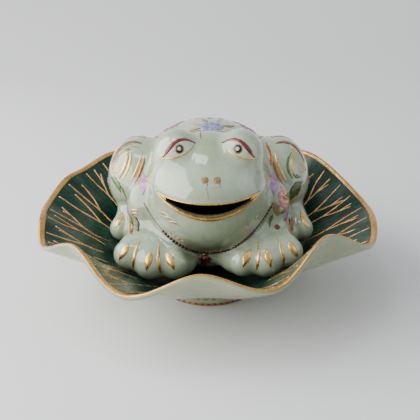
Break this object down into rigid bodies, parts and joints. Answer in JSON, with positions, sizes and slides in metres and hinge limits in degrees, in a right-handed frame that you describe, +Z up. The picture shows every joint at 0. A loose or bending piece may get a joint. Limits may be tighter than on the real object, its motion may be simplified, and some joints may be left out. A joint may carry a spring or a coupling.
{
  "type": "porcelain frog figurine on dish",
  "caption": "Hollow glazed porcelain frog with a wide open smiling mouth, sitting loose in a ruffled lotus-leaf dish on a low foot ring.",
  "frame": {"origin": "on the table under the middle of the leaf dish, at the underside of the foot ring", "axes": "+Z up; the frog faces -Y; +X to the right as seen from in front, and left and right in node names are as seen from in front"},
  "size_m": [0.2585, 0.2499, 0.1325],
  "materials": {
    "celadon_glaze": "pale grey-green celadon glaze, glossy, faintly crackled",
    "leaf_green_glaze": "dark green enamel with painted veins inside, celadon outside",
    "eye_white": "white enamel with a black ring, glossy",
    "gilding": "fired gold, softly burnished",
    "painted_enamel": "overglaze enamels in maroon, pink, orange, green and violet",
    "iron_red": "iron-red band round the foot with painted dots"
  },
  "bodies": {
    "dish": {"leaf_dish": "leaf_green_glaze", "foot_ring": "celadon_glaze"},
    "frog": {"frog_body": "celadon_glaze", "foreleg_left": "celadon_glaze", "foreleg_right": "celadon_glaze", "forefoot_left": "celadon_glaze", "forefoot_right": "celadon_glaze", "haunch_left": "celadon_glaze", "haunch_right": "celadon_glaze", "hind_foot_left": "celadon_glaze", "hind_foot_right": "celadon_glaze", "eye_left": "eye_white", "eye_right": "eye_white"}
  },
  "joints": [
    {"name": "frog_lift", "type": "slide", "parent": "dish", "child": "frog", "axis": [0, 0, 1], "range_m": [0, 0.15]}
  ]
}
